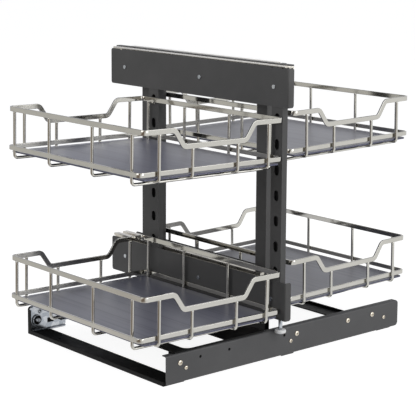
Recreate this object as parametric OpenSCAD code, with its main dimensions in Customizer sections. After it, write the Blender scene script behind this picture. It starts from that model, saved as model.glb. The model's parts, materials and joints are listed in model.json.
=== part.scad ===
// Blind corner organizer: a floor base, a carriage that slides sideways on it, and two upright
// frames that pull forward on telescopic slides, each carrying two wire baskets.
// Millimetres, +Z up, front towards -Y, origin at floor level midway between the four floor screw holes.

/* [Base] */
// length of the front plate along X
plate_len = 629.5; // [560:0.5:720]
// how far the middle of the front plate lies to the right of the origin
plate_shift = 10.75; // [0:0.25:20]
// height of the front plate
plate_h = 57; // [50:0.5:64]
// sheet thickness of the front plate
plate_t = 2; // [1.5:0.1:3]
// outside radius of the bend and lip along the top of the front plate
plate_bend_r = 4; // [3:0.5:6]
// depth of the flange bent back along the top of the front plate
plate_flange = 12; // [8:0.5:14]
// radius of the rounded right-hand corners of the front plate
plate_corner_r = 8; // [4:0.5:12]
// how much the front plate stays clear of the floor beside its feet
plate_step = 2; // [0.5:0.1:3]
// width of the foot at the inner end of each half of the front plate
plate_foot = 16.5; // [12:0.5:24]
// how far the joint between the plate halves lies to the right of the origin
plate_joint_x = 4; // [0:0.5:8]
// distance from the middle of the floor holes to the front plate
plate_front = 224; // [200:1:250]
// width of the left floor strip
strip_w = 50; // [40:0.5:60]
// width of the right floor strip
right_strip_w = 40; // [36:0.5:50]
// sheet thickness of a floor strip
strip_t = 3; // [2:0.1:4]
// height of the lip along the outer edge of a floor strip
strip_lip = 8; // [5:0.5:10]
// how far the front tab of a floor strip ends short of the strip's outer edge
strip_tab_in = 12; // [8:0.5:20]
// length of a floor strip from the front plate to its rear wall
strip_len = 445; // [420:1:480]
// distance of the middle of a floor strip from the end of the front plate, the plate being centred
strip_end = 30.75; // [26:0.25:40]
// diameter of a floor screw hole
floor_hole_d = 5.5; // [4:0.1:7]
// distance of a floor screw hole from the origin along Y
floor_hole_y = 145; // [120:1:170]
// length of a rear bracket along X
bracket_len = 91; // [80:0.5:110]
// height of the rear wall of a floor strip and of its bracket
wall_h = 57; // [54:0.5:57]
// radius of the upper corners of the rear wall and of the bracket
wall_corner_r = 6; // [4:0.5:8]
// depth of the rolled edges of a rear bracket
bracket_d = 7; // [6.5:0.25:10]
// sheet thickness of a rear bracket
bracket_t = 1.5; // [1:0.1:2]
// radius of the rolled edges of a rear bracket
bracket_r = 3.2; // [2.5:0.1:4]
// height of the square window in a rear bracket
window_h = 10; // [6:0.5:14]
// width of the square window in a rear bracket
window_w = 16; // [10:0.5:22]
// height of the middle of the square window above the floor
window_z = 21.5; // [16:0.5:24]
// distance of the window from the outer end of a rear bracket
window_in = 45; // [40:0.5:50]

/* [Sideways rails] */
// height of a guide rail
rail_h = 30; // [24:0.5:34]
// depth of a guide rail
rail_d = 15; // [12:0.5:18]
// sheet thickness of a guide rail
rail_t = 2; // [1.5:0.1:2.5]
// underside of a guide rail above the floor
rail_z = 19; // [16:0.5:22]
// how far the front rail stays short of the ends of the front plate
rail_end = 15; // [4:0.5:18]
// overlap of the rear rail with each rear bracket
rail_overlap = 20; // [12:1:30]
// length of a glide shoe
shoe_len = 26; // [20:1:28]
// running clearance around a glide shoe
shoe_gap = 0.3; // [0.2:0.05:0.5]

/* [Carriage] */
// sheet thickness of the carriage deck
deck_t = 3; // [2:0.1:4]
// clear height between the front plate and the carriage deck
deck_gap = 1.2; // [0.6:0.1:2]
// left end of the carriage deck, measured from the origin
deck_left = 283.5; // [270:0.5:300]
// width of the left arm of the deck
deck_arm = 29.5; // [28:0.5:36]
// distance from the origin to the right-hand side of the deck window
deck_window_right = 156; // [130:1:170]
// width of the strip along the rear of the deck
deck_strip = 10; // [8:0.5:16]
// width of the narrow strip along the front of the deck
deck_lip = 3; // [2:0.5:6]
// radius of the left-hand corners of the deck window
deck_window_r = 14; // [8:1:20]
// width of the recess at the front right of the deck
deck_notch = 53; // [40:1:60]
// depth of the recess at the front right of the deck
deck_notch_d = 66; // [50:1:72]
// distance of the deck's front edge behind the front plate's face
deck_front = 1; // [0.5:0.5:6]
// thickness of the tabs that hold the glide shoes
tab_t = 3; // [2:0.1:4]
// gap between a tab and the mouth of the guide rail
tab_gap = 1.5; // [1:0.1:3]
// width of a column and of the beam under it, along X
column_x = 12; // [10:0.5:16]
// width of a column along Y
column_y = 30; // [24:0.5:36]
// wall thickness of the columns and the beam
column_t = 1.5; // [1:0.1:2.5]
// front of the front column behind the front plate's face
column_front = 56; // [50:0.5:64]
// spacing of the two columns
column_pitch = 365; // [340:1:380]
// thickness of the tie bar across the tops of the columns
tie_t = 3; // [2.5:0.1:4]
// front end of the tie bar behind the front end of the left covers
tie_front = 26; // [20:0.5:32]
// how far the tie bar reaches behind the rear end of the covers
tie_rear = 19; // [10:0.5:24]
// height of the beam's underside above the floor
beam_z = 14; // [12:0.5:20]

/* [Pull-out frames] */
// height of the lower covers above the floor
cover_z = 80; // [74:0.5:90]
// height of a cover
cover_h = 76; // [68:0.5:84]
// clear height between the lower and the upper cover
cover_gap = 340; // [320:1:360]
// how far the left covers reach behind the middle of the rear post
cover_tail = 145; // [135:1:160]
// sheet thickness of a cover
cover_t = 1.5; // [1:0.1:2]
// width of the bent front end of a cover
frame_d = 15; // [14:0.25:18]
// radius of the bend at the front end of a cover
cover_bend_r = 3; // [2.5:0.25:4]
// radius of the free corners of a cover
cover_corner_r = 5; // [3:0.5:8]
// how far the left covers reach in front of the front plate
frame_front = 31; // [28:0.5:40]
// how far the right frame is set back behind the left one
right_setback = 75; // [64:0.5:84]
// how far the right baskets stand further forward on their frame than the left ones
right_basket_out = 22; // [16:0.5:28]
// width of a post
post_w = 31; // [27:0.5:35]
// sheet thickness of a post
post_t = 1.5; // [1:0.1:2]
// distance from the front end of a cover to the middle of the front post
post_front = 31.5; // [30:0.5:36]
// distance from the middle of the rear post to the rear end of a basket
post_rear = 27.5; // [24:0.5:34]
// width of a notch in the top edge of a cover
notch_w = 6; // [4:0.25:8]
// depth of a notch in the top edge of a cover
notch_h = 2.2; // [1.5:0.1:3]
// distance of the first notch from the front end of a cover
notch_front = 17; // [14:0.5:20]
// spacing of the two front notches
notch_pitch = 29; // [24:0.5:34]
// distance of the last notch from the rear end of a cover
notch_rear = 34; // [28:0.5:40]
// width of a hook hole in a post
hole_w = 13; // [11:0.25:15]
// height of a hook hole in a post
hole_h = 21; // [18:0.5:24]
// vertical spacing of the hook holes
hole_pitch = 50; // [46:0.5:52]
// number of hook holes in a post
hole_count = 7; // [7:1:7]
// least height from the middle of the upper baskets' hook hole to the cover above it
cover_clear = 12; // [10:0.5:20]
// height of the lowest hook hole above the floor
hole_z = 173.5; // [170:0.5:180]

/* [Telescopic slides] */
// height of a slide
slide_h = 74; // [70:0.5:76]
// depth of a slide
slide_d = 12; // [11:0.25:14]
// how far a slide stands above the top of its cover
slide_rise = 1.5; // [0.5:0.25:2]
// how far the front end of an upper slide is set back from the front end of its cover
slide_front = 14; // [10:0.5:20]
// sheet thickness of the outer slide member
slide_t = 1.5; // [1.2:0.1:2]
// sheet thickness of the two moving slide members
slide_thin = 1.2; // [1:0.1:1.4]
// height of the lips along the mouth of a slide
slide_lip = 5; // [4:0.25:6]
// running clearance between the slide members
slide_gap = 0.4; // [0.3:0.05:0.5]
// clearance between the inner slide member and the mouth of the slide
slide_mouth = 1; // [0.8:0.1:1.5]

/* [Baskets] */
// width of a basket from the frame to its free side
basket_w = 337; // [300:1:360]
// length of a basket from front to rear
basket_l = 431.5; // [400:0.5:460]
// upward tilt of an empty basket towards its free side, in degrees
basket_tilt = 0.9; // [0:0.1:1.5]
// distance of the top rail of a basket from the covers
basket_gap = 4.5; // [4:0.1:6]
// how far the front of a basket is set back from the front end of the cover
basket_front = 6; // [0:0.5:12]
// height of the top rail above the middle of its hook hole
basket_rise = 5.5; // [4:0.25:7]
// height of the flat bar of the top rail
rim_h = 10; // [8:0.25:12]
// thickness of the flat bar of the rails
bar_t = 3.5; // [3:0.1:5]
// bend radius at the corners of the rails
rim_r = 10; // [8:0.5:14]
// depth of the scooped dip in the front and rear of the top rail
dip_h = 31; // [26:0.5:34]
// length of the level part of the top rail on either side of the dip
dip_flat = 66; // [58:0.5:72]
// angle of the sides of the dip, in degrees
dip_angle = 55; // [45:1:60]
// bend radius of the dip along the middle of the bar
dip_r = 12; // [10:0.5:14]
// height from the top of the top rail to the top of the bottom rail
rail_drop = 76; // [70:0.5:80]
// height of the flat bar of the bottom rail
low_h = 9; // [7:0.25:11]
// thickness of the bottom panel
panel_t = 3; // [2.5:0.1:5]
// height of the open gap between the bottom rail and the bottom panel
panel_gap = 3.4; // [2.5:0.1:5]
// diameter of the basket wire
wire_d = 6.2; // [5:0.1:6.5]
// bend radius at the feet of the wires
wire_r = 7; // [5:0.25:8]
// distance of the inner pair of front wires from the middle of the basket
wire_in_x = 54.5; // [50:0.5:60]
// distance of the outer pair of front wires from the middle of the basket
wire_out_x = 131.5; // [126:0.5:136]
// distance of the inner pair of side wires from their middle
wire_in_y = 69; // [60:0.5:78]
// distance of the outer pair of side wires from their middle
wire_out_y = 188; // [180:0.5:192]
// how far the side wires are set towards the rear of the basket
wire_shift = 7; // [0:0.5:9]
// width of a basket hook
hook_w = 10; // [8:0.25:11]
// thickness of a basket hook
hook_t = 2; // [1.5:0.1:2.5]
// height of the hook's neck that rests in the hole
hook_neck = 4; // [3:0.25:5]
// length of the hook's tongue behind the post
hook_tongue = 8; // [6:0.25:10]

/* [Guide roller] */
// diameter of the guide roller
roller_d = 22; // [18:0.5:22]
// thickness of the guide roller
roller_h = 6; // [5:0.25:8]
// height of the middle of the roller above the floor
roller_z = 57; // [50:0.5:62]
// distance of the roller pin behind the front end of the cover
pin_y = 19; // [17:0.25:19.5]
// distance of the roller pin from the face of the cover
pin_x = 6; // [5.5:0.25:9]
// diameter of the pin between cover and roller
pin_d = 8; // [7:0.25:8]
// diameter of the journal inside the roller
journal_d = 6; // [5:0.1:6.5]
// radial running clearance of the roller on its journal
roller_fit = 0.05; // [0.02:0.01:0.1]
// diameter of the head that holds the roller on its pin
pin_head_d = 10; // [8.5:0.25:12]
// thickness of the heads of the pin
pin_head_h = 2; // [1.5:0.25:3]
// length of the tab in the cover that carries the pin
pin_tab = 32; // [28:0.5:36]

/* [Fasteners] */
// head diameter of the large plate bolts
bolt_head_d = 11; // [9:0.25:12]
// head diameter of the small plate bolts
bolt_small_d = 8.5; // [7:0.25:9]
// head height of the plate bolts
bolt_head_h = 2.4; // [1.5:0.1:4]
// shank diameter of the plate bolts
bolt_d = 4; // [3:0.1:5]
// height of the large plate bolts above the floor
bolt_z = 39; // [36:0.5:42]
// height of the small plate bolts above the floor
bolt_small_z = 27; // [25:0.5:30]
// first large bolt from the left end of the front plate
bolt_left = 33; // [28:0.5:38]
// first small bolt from the left end of the front plate
small_left = 47; // [44:0.5:52]
// second large bolt from the joint of the front plate
bolt_joint = 24.5; // [22:0.5:28]
// second small bolt from the joint of the front plate
small_joint = 8; // [6:0.5:10]
// third large bolt from the joint of the front plate
bolt_mid = 170; // [150:1:190]
// last large bolt from the right end of the front plate
bolt_right = 79.5; // [72:0.5:88]
// last small bolt from the right end of the front plate
small_right = 44; // [38:0.5:50]
// first open screw hole from the left end of the front plate
hole_left = 82.5; // [76:0.5:90]
// spacing of the first two open screw holes
hole_spacing = 72; // [60:0.5:80]
// last open screw hole from the joint of the front plate
hole_joint = 9; // [7:0.5:14]
// diameter of the open screw holes in the front plate
plate_hole_d = 6; // [4:0.1:6.5]
// height of the open screw holes above the floor
plate_hole_z = 41; // [38:0.5:43]
// washer diameter of the bracket bolts
washer_d = 22; // [18:0.5:24]
// washer thickness of the bracket bolts
washer_t = 1.6; // [1:0.1:2]
// head diameter of the bracket bolts
bracket_bolt_d = 15; // [12:0.5:17]
// head height of the bracket bolts
bracket_bolt_h = 5; // [4:0.25:6]
// distance of a bracket bolt from the outer end of its bracket
bracket_bolt_in = 19; // [15:0.5:22]
// height of a bracket bolt above the floor
bracket_bolt_z = 27; // [22:0.5:32]
// head diameter of a rivet in a cover
rivet_head_d = 8.5; // [7:0.25:10]
// head height of a rivet in a cover
rivet_head_h = 1.4; // [1:0.1:2]
// shank diameter of the rivets
rivet_d = 5; // [4:0.1:6]
// outside diameter of the spacer behind a rivet
spacer_d = 10; // [8:0.25:12]
// front rivet behind the front end of the cover
rivet_front = 40; // [38:0.5:42]
// middle rivet behind the front end of the cover
rivet_mid = 259; // [240:1:280]
// distance of the last rivet from the rear end of the cover
rivet_rear = 48; // [40:0.5:60]
// vertical spacing of the rivets that hold a slide to a column
column_rivet_pitch = 40; // [30:0.5:50]
// small clearance around every shank in its hole
hole_fit = 0.1; // [0.05:0.05:0.2]
// small gap at every seat between two pieces
seat = 0.2; // [0.1:0.05:0.3]

/* [Hidden] */
$fn = 64;
wire_rad = wire_d / 2;
half_frame = column_x / 2 + slide_d + slide_mouth + frame_d;
plate_x0 = plate_shift - plate_len / 2;
plate_x1 = plate_shift + plate_len / 2;
face_y = -plate_front;
frame_y = face_y - frame_front;
top_cover_z = cover_z + cover_h + cover_gap;
slide_z = cover_z + cover_h + slide_rise - slide_h;
top_slide_z = slide_z + cover_h + cover_gap;
post_pitch = basket_front + basket_l - post_rear - post_front;
cover_len = post_front + post_pitch + cover_tail;
right_len = cover_len - right_setback;
upper_step = min(hole_count - 1, floor((top_cover_z - cover_clear - hole_z) / hole_pitch));
slide_len = cover_len;
right_slide_len = slide_len - right_setback;
rail_y = face_y + plate_t + seat;
rail_top = rail_z + rail_h;
deck_z = plate_h + deck_gap;
deck_top = deck_z + deck_t;
column_y0 = face_y + column_front;
column_y1 = column_y0 + column_pitch;
column_top = top_slide_z + slide_h - slide_rise;
wall_y = face_y + strip_len;
bracket_y = wall_y - seat - bracket_d;
rear_rail_y = wall_y - seat - bracket_t - seat - rail_d;
strip_x = plate_len / 2 - strip_end;
strip_out = strip_x + strip_w / 2;
bracket_in = strip_out - bracket_len;
shoe_d = rail_d - rail_t - shoe_gap;
tab_front = rail_y + rail_d + tab_gap;
tab_rear = rear_rail_y - tab_gap;
front_shoe_x = [-deck_left + deck_arm / 2, -deck_window_right + deck_arm];
rear_shoe_x = [-deck_window_right - deck_arm / 2, -deck_arm / 2 - column_x];
deck_right = column_x / 2;
large_bolt_x = [
  plate_x0 + bolt_left,
  plate_joint_x + bolt_joint,
  plate_joint_x + bolt_mid,
  plate_x1 - bolt_right
];
small_bolt_x = [plate_x0 + small_left, plate_joint_x + small_joint, plate_x1 - small_right];
plate_hole_x = [plate_x0 + hole_left, plate_x0 + hole_left + hole_spacing, plate_joint_x - hole_joint];
post_d0 = cover_t + seat;
post_d1 = frame_d - seat;
post_z0 = cover_z + cover_corner_r;
post_z1 = top_cover_z + cover_h - cover_corner_r;
wire_mid = bar_t / 2;
low_out = wire_rad + seat + bar_t - wire_mid;
low_in = wire_mid + wire_rad + seat;
panel_z = rail_drop + low_h + panel_gap;
long_wire_z = panel_z + panel_t + seat + wire_rad;
cross_wire_z = long_wire_z + wire_d + seat;
dip_run = 2 * dip_r * sin(dip_angle) + dip_slope() * cos(dip_angle);
inner_half = slide_h / 2 - slide_t - slide_gap - slide_thin - slide_gap;
hat_half = slide_h / 2 - slide_t - slide_lip - 2 * slide_gap - slide_thin;
dip_steps = 10;
frame_colour = [0.30, 0.30, 0.30];
plate_colour = [0.36, 0.36, 0.37];
black_colour = [0.09, 0.09, 0.10];
zinc_colour = [0.72, 0.74, 0.78];
chrome_colour = [0.82, 0.82, 0.80];
panel_colour = [0.49, 0.49, 0.53];
bolt_colour = [0.88, 0.85, 0.79];
nylon_colour = [0.95, 0.95, 0.94];

// straight length of the sloping bar in the dip of a top rail
function dip_slope() = (dip_h - 2 * dip_r * (1 - cos(dip_angle))) / sin(dip_angle);

// shared shapes

// block from one corner to the opposite one
module block(x0, x1, y0, y1, z0, z1) {
  translate([x0, y0, z0])
    cube([x1 - x0, y1 - y0, z1 - z0]);
}

// flat rectangle with four rounded corners, lower left corner at the origin
module round_rect(w, h, r) {
  translate([r, 0])
    square([w - 2 * r, h]);
  translate([0, r])
    square([w, h - 2 * r]);
  for (x = [r, w - r], y = [r, h - r])
    translate([x, y])
      circle(r = r);
}

// upright obround outline centred on the origin
module obround(w, h) {
  square([w, h - w], center = true);
  for (s = [-1, 1])
    translate([0, s * (h - w) / 2])
      circle(d = w);
}

// cylinder along X
module rod_x(x0, x1, y, z, d) {
  translate([x0, y, z])
    rotate([0, 90, 0])
      cylinder(d = d, h = x1 - x0);
}

// cylinder along Y
module rod_y(x, y0, y1, z, d) {
  translate([x, y1, z])
    rotate([90, 0, 0])
      cylinder(d = d, h = y1 - y0);
}

// outline drawn in X and Z, stretched along Y
module along_y(y0, y1) {
  translate([0, y1, 0])
    rotate([90, 0, 0])
      linear_extrude(y1 - y0)
        children();
}

// outline drawn in Y and Z, stretched along X
module along_x(x0, x1) {
  translate([x0, 0, 0])
    rotate([90, 0, 90])
      linear_extrude(x1 - x0)
        children();
}

// quarter of a ring in the XY plane, between two radii, centred on the origin
module quarter_ring(r0, r1, turn) {
  intersection() {
    difference() {
      circle(r = r1);
      circle(r = r0);
    }
    rotate(turn)
      square(2 * r1);
  }
}

// base

// section of the front plate in Y and Z with its bent-back top
module plate_section(z0) {
  translate([0, z0])
    square([plate_t, plate_h - plate_bend_r - z0]);
  translate([plate_bend_r, plate_h - plate_bend_r])
    quarter_ring(plate_bend_r - plate_t, plate_bend_r, 90);
  translate([plate_bend_r, plate_h - plate_t])
    square([plate_flange - plate_bend_r, plate_t]);
}

module plate_holes() {
  for (x = large_bolt_x)
    rod_y(x, face_y - plate_t, face_y + 2 * plate_t, bolt_z, bolt_d + 2 * hole_fit);
  for (x = small_bolt_x)
    rod_y(x, face_y - plate_t, face_y + 2 * plate_t, bolt_small_z, bolt_d + 2 * hole_fit);
  for (x = plate_hole_x)
    rod_y(x, face_y - plate_t, face_y + 2 * plate_t, plate_hole_z, plate_hole_d);
}

module front_plate_left() {
  color(plate_colour)
    difference() {
      union() {
        along_x(plate_x0, plate_joint_x - seat)
          translate([face_y, 0])
            plate_section(plate_step);
        block(plate_joint_x - plate_foot, plate_joint_x - seat, face_y, face_y + plate_t, 0, plate_h / 2);
      }
      plate_holes();
    }
}

module front_plate_right() {
  color(plate_colour)
    difference() {
      union() {
        intersection() {
          along_x(plate_joint_x, plate_x1)
            translate([face_y, 0])
              plate_section(plate_step);
          along_y(face_y - plate_t, face_y + plate_flange + plate_t)
            translate([plate_joint_x - plate_corner_r, plate_step])
              round_rect(plate_x1 - plate_joint_x + plate_corner_r, plate_h - plate_step, plate_corner_r);
        }
        block(plate_joint_x, plate_joint_x + plate_foot, face_y, face_y + plate_t, 0, plate_h / 2);
      }
      plate_holes();
    }
}

// section of a guide rail in Y and Z, its back at the origin and its mouth towards +Y
module rail_section() {
  difference() {
    square([rail_d, rail_h]);
    translate([rail_t, rail_t])
      square([rail_d, rail_h - 2 * rail_t]);
  }
}

module front_rail() {
  color(black_colour)
    difference() {
      along_x(plate_x0 + rail_end, plate_x1 - rail_end)
        translate([rail_y, rail_z])
          rail_section();
      for (x = large_bolt_x)
        rod_y(x, rail_y - seat, rail_y + 2 * rail_t, bolt_z, bolt_d + 2 * hole_fit);
      for (x = small_bolt_x)
        rod_y(x, rail_y - seat, rail_y + 2 * rail_t, bolt_small_z, bolt_d + 2 * hole_fit);
    }
}

module rear_rail() {
  color(zinc_colour)
    along_x(-bracket_in - rail_overlap, bracket_in + rail_overlap)
      translate([rear_rail_y + rail_d, rail_z])
        mirror([1, 0])
          rail_section();
}

// floor strip of a given width on the right-hand side, with its outer lip, front tab and rear wall
module floor_strip(w) {
  x0 = strip_x - w / 2;
  x1 = strip_x + w / 2;
  y0 = face_y + plate_t + seat;
  difference() {
    union() {
      block(x0, x1, y0, wall_y + strip_t, 0, strip_t);
      block(x1 - strip_t, x1, y0, bracket_y - seat, 0, strip_lip);
      block(x0, x1 - strip_tab_in, y0, y0 + strip_t, 0, rail_z - seat);
      along_y(wall_y, wall_y + strip_t)
        translate([bracket_in, 0])
          union() {
            round_rect(bracket_len, wall_h, wall_corner_r);
            square([bracket_len, wall_h / 2]);
          }
      block(strip_out - strip_t / 2, strip_out, bracket_y, wall_y, 0, wall_h - wall_corner_r);
    }
    for (y = [-floor_hole_y, floor_hole_y])
      translate([strip_x, y, -strip_t])
        cylinder(d = floor_hole_d, h = 3 * strip_t);
    bracket_bolt_holes();
  }
}

module bracket_bolt_holes() {
  rod_y(strip_out - bracket_bolt_in, wall_y - bracket_d, wall_y + 2 * strip_t, bracket_bolt_z,
        bolt_d + 2 * hole_fit);
  rod_y(strip_out - bracket_bolt_in - bracket_bolt_d / 2, wall_y - bracket_d, wall_y + 2 * strip_t,
        rail_top - bolt_small_d / 2 - bracket_t, bolt_d + 2 * hole_fit);
}

module right_floor_strip() {
  color(black_colour)
    floor_strip(right_strip_w);
}

module left_floor_strip() {
  color(black_colour)
    mirror([1, 0, 0])
      floor_strip(strip_w);
}

// rear bracket on the right-hand side: a plate with rolled edges that point to the front
module rear_bracket() {
  z0 = strip_t + seat;
  h = wall_h - z0;
  x1 = strip_out - strip_t / 2 - seat;
  difference() {
    intersection() {
      along_x(bracket_in, x1)
        translate([bracket_y, z0])
          difference() {
            union() {
              round_rect(bracket_d, h, bracket_r);
              square([bracket_d / 2, h]);
            }
            translate([-bracket_d, bracket_t])
              round_rect(2 * bracket_d - bracket_t, h - 2 * bracket_t, bracket_r - bracket_t);
          }
      along_y(bracket_y - bracket_d, wall_y)
        translate([bracket_in, z0])
          round_rect(x1 - bracket_in, h, wall_corner_r);
    }
    block(strip_out - window_in - window_w, strip_out - window_in, bracket_y, wall_y,
          window_z - window_h / 2, window_z + window_h / 2);
    bracket_bolt_holes();
  }
}

module right_rear_bracket() {
  color(zinc_colour)
    rear_bracket();
}

module left_rear_bracket() {
  color(zinc_colour)
    mirror([1, 0, 0])
      rear_bracket();
}

// bolt through the front plate and the front rail, with a low rounded head
module plate_bolt(x, z, d) {
  rod_y(x, face_y - seat, rail_y + rail_t, z, bolt_d);
  rod_y(x, face_y - seat - bolt_head_h / 2, face_y - seat, z, d);
  rod_y(x, face_y - seat - bolt_head_h, face_y - seat - bolt_head_h / 2, z, d - bolt_head_h);
}

// bolts of the rear bracket on the right-hand side
module bracket_bolts() {
  web_y = wall_y - seat - bracket_t - seat;
  bolt_x = strip_out - bracket_bolt_in;
  screw_x = bolt_x - bracket_bolt_d / 2;
  screw_z = rail_top - bolt_small_d / 2 - bracket_t;
  rod_y(bolt_x, web_y, wall_y + strip_t, bracket_bolt_z, bolt_d);
  rod_y(bolt_x, web_y - washer_t, web_y, bracket_bolt_z, washer_d);
  rod_y(bolt_x, web_y - washer_t - bracket_bolt_h, web_y - washer_t, bracket_bolt_z, bracket_bolt_d);
  rod_y(screw_x, web_y, wall_y + strip_t, screw_z, bolt_d);
  rod_y(screw_x, web_y - bolt_head_h, web_y, screw_z, bolt_small_d);
}

module base_bolts() {
  color(bolt_colour) {
    for (x = large_bolt_x)
      plate_bolt(x, bolt_z, bolt_head_d);
    for (x = small_bolt_x)
      plate_bolt(x, bolt_small_z, bolt_small_d);
    bracket_bolts();
    mirror([1, 0, 0])
      bracket_bolts();
  }
}

// carriage

// window of the deck, rounded at its left-hand corners
module deck_window(w, l) {
  round_rect(w, l, deck_window_r);
  translate([w / 2, 0])
    square([w / 2, l]);
}

module carriage_deck() {
  y0 = face_y + deck_front;
  y1 = tab_rear;
  color(black_colour)
    union() {
      translate([0, 0, deck_z])
        linear_extrude(deck_t)
          difference() {
            union() {
              translate([-deck_left, y0])
                square([deck_left + deck_right, y1 - y0]);
              translate([-column_x / 2, y1])
                square([column_x, column_y1 + column_y - y1]);
            }
            translate([-deck_left + deck_arm, y0 + deck_lip])
              deck_window(deck_left - deck_arm - deck_window_right, y1 - y0 - deck_lip - deck_strip);
            translate([-column_x / 2 - deck_notch, y0])
              square([deck_notch, deck_notch_d]);
            translate([-column_x / 2, y0])
              square([column_x, column_y0 - y0]);
          }
      for (x = front_shoe_x)
        block(x - shoe_len / 2, x + shoe_len / 2, tab_front, tab_front + tab_t, rail_z + rail_t, deck_z);
      for (x = rear_shoe_x)
        block(x - shoe_len / 2, x + shoe_len / 2, y1 - tab_t, y1, rail_z + rail_t, deck_z);
    }
}

module glide_shoes() {
  z0 = rail_z + rail_t + shoe_gap;
  z1 = rail_top - rail_t - shoe_gap;
  color(nylon_colour) {
    for (x = front_shoe_x)
      block(x - shoe_len / 2, x + shoe_len / 2, rail_y + rail_t + shoe_gap, tab_front - seat, z0, z1);
    for (x = rear_shoe_x)
      block(x - shoe_len / 2, x + shoe_len / 2, tab_rear + seat, rear_rail_y + shoe_d, z0, z1);
  }
}

// rectangular tube section centred on X, between two positions along the other axis
module tube_section(b0, b1) {
  translate([-column_x / 2, b0])
    difference() {
      square([column_x, b1 - b0]);
      translate([column_t, column_t])
        square([column_x - 2 * column_t, b1 - b0 - 2 * column_t]);
    }
}

module carriage_beam() {
  color(black_colour)
    along_y(column_y0, tab_rear - tab_t - seat)
      tube_section(beam_z, deck_z - seat);
}

// places of the rivets that hold the slides to a column, along Y and Z
module at_column_rivets(y0) {
  for (z = [slide_z, top_slide_z], s = [-1, 1])
    translate([0, y0 + column_y / 2, z + slide_h / 2 + s * column_rivet_pitch / 2])
      children();
}

module column(y0) {
  difference() {
    translate([0, 0, deck_top + seat])
      linear_extrude(column_top - deck_top - seat)
        tube_section(y0, y0 + column_y);
    at_column_rivets(y0)
      rod_x(-column_x, column_x, 0, 0, rivet_d + 2 * hole_fit);
  }
}

module front_column() {
  color(frame_colour)
    column(column_y0);
}

module rear_column() {
  color(frame_colour)
    column(column_y1);
}

// flat bar with rounded ends that ties the tops of both columns
module column_tie_bar() {
  y0 = frame_y + tie_front;
  y1 = frame_y + cover_len + tie_rear;
  color(frame_colour)
    along_x(-column_x / 2, column_x / 2)
      translate([y0, column_top + seat])
        round_rect(y1 - y0, tie_t, tie_t / 2 - seat);
}

module column_rivets() {
  color(zinc_colour)
    for (y0 = [column_y0, column_y1], side = [0, 1])
      mirror([side, 0, 0])
        at_column_rivets(y0) {
          rod_x(-column_x / 2 - seat - slide_t, -column_x / 2 + column_t + seat, 0, 0, rivet_d);
          translate([-column_x / 2 + column_t + seat, 0, 0])
            rod_x(0, column_t, 0, 0, rivet_d + 2 * column_t);
        }
}

// telescopic slides, drawn for the left frame: X from the face of the cover, Y from its front end

// moves a piece of a frame to its place: left as drawn, right as a mirror image and set back
module frame_place(right) {
  mirror([right, 0, 0])
    translate([-half_frame, frame_y + right * right_setback, 0])
      children();
}

// channel with lips, mouth towards -X, in X and Z from its lower front corner
module lipped_channel(d, h, t, lip) {
  difference() {
    square([d, h]);
    translate([t, t])
      square([d - 2 * t, h - 2 * t]);
    translate([-t, lip])
      square([3 * t, h - 2 * lip]);
  }
}

// front end of a slide in its frame: the lower slides of both frames start level with one another
function slide_start(right, z) = slide_front + (z == slide_z && right == 0 ? right_setback : 0);

// length of a slide: both lower slides have the length of the right ones
function slide_length(right, z) = z == slide_z || right == 1 ? right_slide_len : slide_len;

module slide_outer(right, z) {
  x0 = frame_d + slide_mouth - seat;
  y0 = slide_start(right, z);
  y1 = y0 + slide_length(right, z);
  color(zinc_colour)
    difference() {
      frame_place(right)
        along_y(y0, y1)
          translate([x0, z])
            lipped_channel(slide_d, slide_h, slide_t, slide_lip);
      for (y = [column_y0, column_y1])
        mirror([right, 0, 0])
          at_column_rivets(y)
            rod_x(-half_frame, 0, 0, 0, rivet_d + 2 * hole_fit);
    }
}

module slide_middle(right, z) {
  x0 = frame_d + slide_mouth - seat + slide_t + slide_gap;
  step = slide_t + slide_gap;
  y0 = slide_start(right, z);
  y1 = y0 + slide_length(right, z);
  color(zinc_colour)
    frame_place(right)
      along_y(y0, y1)
        translate([x0, z + step])
          lipped_channel(slide_d - 2 * step, slide_h - 2 * step, slide_thin, slide_lip);
}

// hat section of the inner member: its crown carries the frame, its feet run behind the lips
module slide_inner(right, z) {
  foot_x = frame_d + slide_mouth - seat + slide_t + slide_gap + slide_thin + slide_gap;
  back_x = frame_d + slide_mouth - seat + slide_d - slide_t - slide_gap - slide_thin - slide_gap;
  y0 = slide_start(right, z);
  y1 = y0 + slide_length(right, z);
  color(zinc_colour)
    difference() {
      frame_place(right)
        along_y(y0, y1)
          translate([0, z + slide_h / 2])
            union() {
              translate([frame_d, -hat_half])
                square([slide_thin, 2 * hat_half]);
              for (s = [0, 1])
                mirror([0, s]) {
                  translate([frame_d, hat_half - slide_thin])
                    square([foot_x + slide_thin - frame_d, slide_thin]);
                  translate([foot_x, hat_half - slide_thin])
                    square([slide_thin, inner_half - hat_half + slide_thin]);
                  translate([foot_x, inner_half - slide_thin])
                    square([back_x - foot_x, slide_thin]);
                }
            }
      frame_place(right)
        for (y = rivet_places(right))
          rod_x(0, half_frame, y, z - slide_rise + slide_h - cover_h / 2, rivet_d + 2 * hole_fit);
    }
}

module left_top_slide_outer() {
  slide_outer(0, top_slide_z);
}

module left_bottom_slide_outer() {
  slide_outer(0, slide_z);
}

module right_top_slide_outer() {
  slide_outer(1, top_slide_z);
}

module right_bottom_slide_outer() {
  slide_outer(1, slide_z);
}

module left_top_slide_middle() {
  slide_middle(0, top_slide_z);
}

module left_bottom_slide_middle() {
  slide_middle(0, slide_z);
}

module right_top_slide_middle() {
  slide_middle(1, top_slide_z);
}

module right_bottom_slide_middle() {
  slide_middle(1, slide_z);
}

module left_top_slide_inner() {
  slide_inner(0, top_slide_z);
}

module left_bottom_slide_inner() {
  slide_inner(0, slide_z);
}

module right_top_slide_inner() {
  slide_inner(1, top_slide_z);
}

module right_bottom_slide_inner() {
  slide_inner(1, slide_z);
}

// covers, posts and rivets of a pull-out frame

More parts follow.
